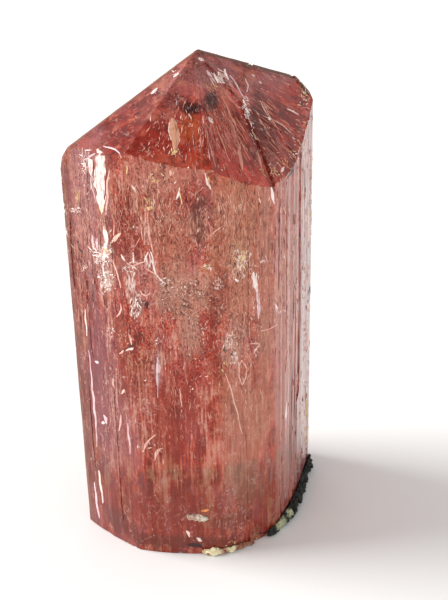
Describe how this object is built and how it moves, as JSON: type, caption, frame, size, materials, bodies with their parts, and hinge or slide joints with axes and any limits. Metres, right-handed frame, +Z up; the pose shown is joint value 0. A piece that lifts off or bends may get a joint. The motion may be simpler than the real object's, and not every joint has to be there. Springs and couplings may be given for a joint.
{
  "type": "topaz crystal",
  "caption": "Pinkish red topaz crystal, a striated prism with a sloping pointed end, standing on its flat broken base with bits of dark and cream crust.",
  "frame": {"origin": "under the middle of the whole, on the surface the crystal stands on", "axes": "+Z up along the crystal, -Y towards the front with the widest faces, +X to its right"},
  "size_m": [0.0164, 0.0148, 0.0329],
  "materials": {
    "topaz": "clear, included, pinkish red, glossy growth faces",
    "dark_mineral": "rough, dark green-black",
    "cream_mineral": "rough, cream"
  },
  "bodies": {
    "root": {"topaz_crystal": "topaz", "dark_crust": "dark_mineral", "cream_crust": "cream_mineral", "cream_fleck": "cream_mineral"}
  },
  "joints": []
}
